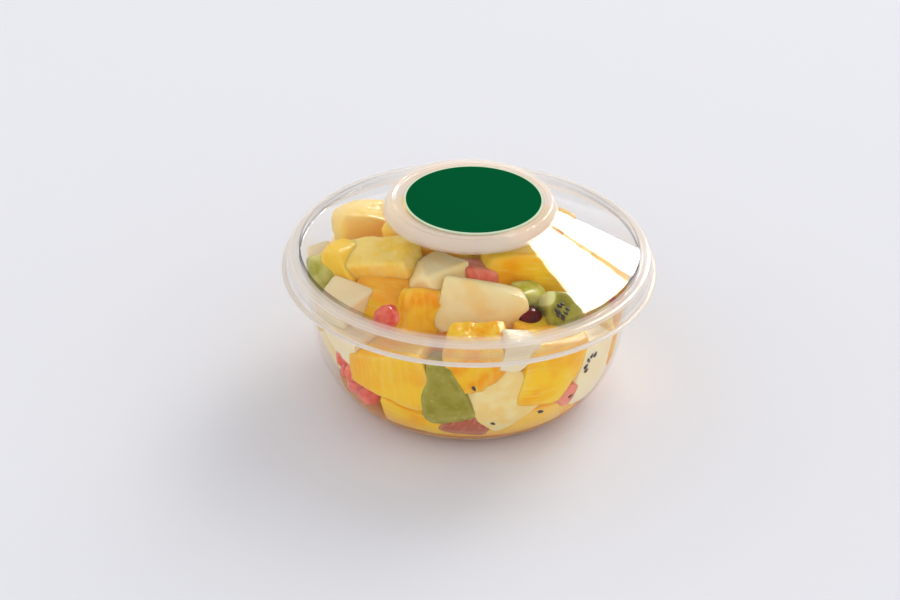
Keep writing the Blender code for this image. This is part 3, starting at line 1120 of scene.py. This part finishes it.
def soft_panel(name, upper, lower, wide, distance, brightness, colour, mirrored):
    """A flat lamp that reaches from one direction to another and faces the lid."""
    top = LAMPS_FACE + direction(*upper) * distance
    foot = LAMPS_FACE + direction(*lower) * distance
    lamp = bpy.data.lights.new(name, 'AREA')
    lamp.shape = 'RECTANGLE'
    lamp.size = (top - foot).length
    lamp.size_y = wide
    lamp.energy = math.pi * lamp.size * lamp.size_y * brightness
    lamp.color = colour
    place = (top + foot) / 2
    out = (place - LAMPS_FACE).normalized()
    along = (top - foot).normalized()
    across = out.cross(along)
    holder = in_scene(name, lamp)
    holder.matrix_world = standing(place, along, across, out)
    holder.visible_glossy = mirrored
    holder.visible_diffuse = not mirrored


def set_lights():
    """A pale room, brighter at its sides than overhead, and the lamps."""
    room = Finish("studio", bpy.data.worlds)
    _, _, up = room.axes(room.add("ShaderNodeTexCoord", output="Generated"))
    bright = ROOM_OVERHEAD + (1 - up.rise(0.6, 0.9)) * (ROOM_SIDES - ROOM_OVERHEAD)
    sky = room.add("ShaderNodeBackground", {"Color": (0.95, 0.96, 1.0, 1), "Strength": bright})
    room.add("ShaderNodeOutputWorld", {"Surface": sky})
    bpy.context.scene.world = room.material
    for name, lamp in LAMPS.items():
        soft_panel(name, *lamp)


def set_floor():
    """The plain pale floor, which is only part of the studio."""
    finish = Finish("studio_floor")
    faint = finish.cloud(finish.place(), 0.5)
    tone = finish.mix(faint, (0.685, 0.687, 0.712, 1), (0.705, 0.707, 0.73, 1))
    surface = finish.add("ShaderNodeBsdfPrincipled", {"Base Color": tone, "Roughness": 0.7,
                                                      "Specular IOR Level": 0.0})
    mesh = bpy.data.meshes.new("studio_floor")
    mesh.from_pydata([(x * FLOOR_REACH, y * FLOOR_REACH, 0)
                      for x, y in ((-1, -1), (1, -1), (1, 1), (-1, 1))], [], [(0, 1, 2, 3)])
    mesh.materials.append(finish.done(surface))
    in_scene("studio_floor", mesh)


# ================ putting it together
def joined(name, shape, finish):
    """The piece for a mesh under construction."""
    mesh = bpy.data.meshes.new(name)
    shape.to_mesh(mesh)
    shape.free()
    return finished(name, mesh, finish, math.radians(60))


def stand_for(piece, node):
    """Puts a piece in a CAD node's place, on the one body."""
    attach(piece, "root")
    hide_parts(node)


def build():
    set_camera()
    set_lights()
    set_floor()
    stand_for(turned("bowl_shell", bowl_outline(), clear_plastic("clear_bowl_sheet", bowl_milk)),
              "bowl")
    stand_for(turned("lid_shell", lid_outline(), clear_plastic("clear_lid_sheet", lid_milk)),
              "lid")
    stand_for(turned("label_disc", label_outline(), label_finish(), LABEL_MIDDLE.xy),
              "label")
    salad = build_salad()
    finishes = {"mango": mango_finish, "pear": pear_finish, "pineapple": pineapple_finish,
                "orange": orange_finish, "kiwi": kiwi_finish, "strawberry": strawberry_finish,
                "grape": grape_finish}
    fruit = [joined(kind + "_pieces", shape, finishes[kind]())
             for kind, shape in salad.shapes.items()]
    draw = random.Random(SMALL_SEED)
    seeds = [(place, spin, draw.uniform(0.85, 1.1)) for place, spin in salad.seeds]
    fruit.append(scatter("seeds", seeds, SEED_HALVES, one_seed, seed_finish()))
    arils = [(place, [draw.uniform(0, 6.28) for _ in range(3)], size)
             for place, size in salad.arils]
    fruit.append(scatter("arils", arils, ARIL_HALVES, one_aril, aril_finish()))
    fruit.append(turned("juice_pool", juice_outline(), juice_finish()))
    fruit.append(finished("heap_core", core_mesh(), core_finish(), math.pi))
    for piece in fruit:
        stand_for(piece, "fruit")


bpy.context.scene.view_settings.view_transform = 'Standard'
bpy.context.scene.cycles.transparent_max_bounces = 24
build()
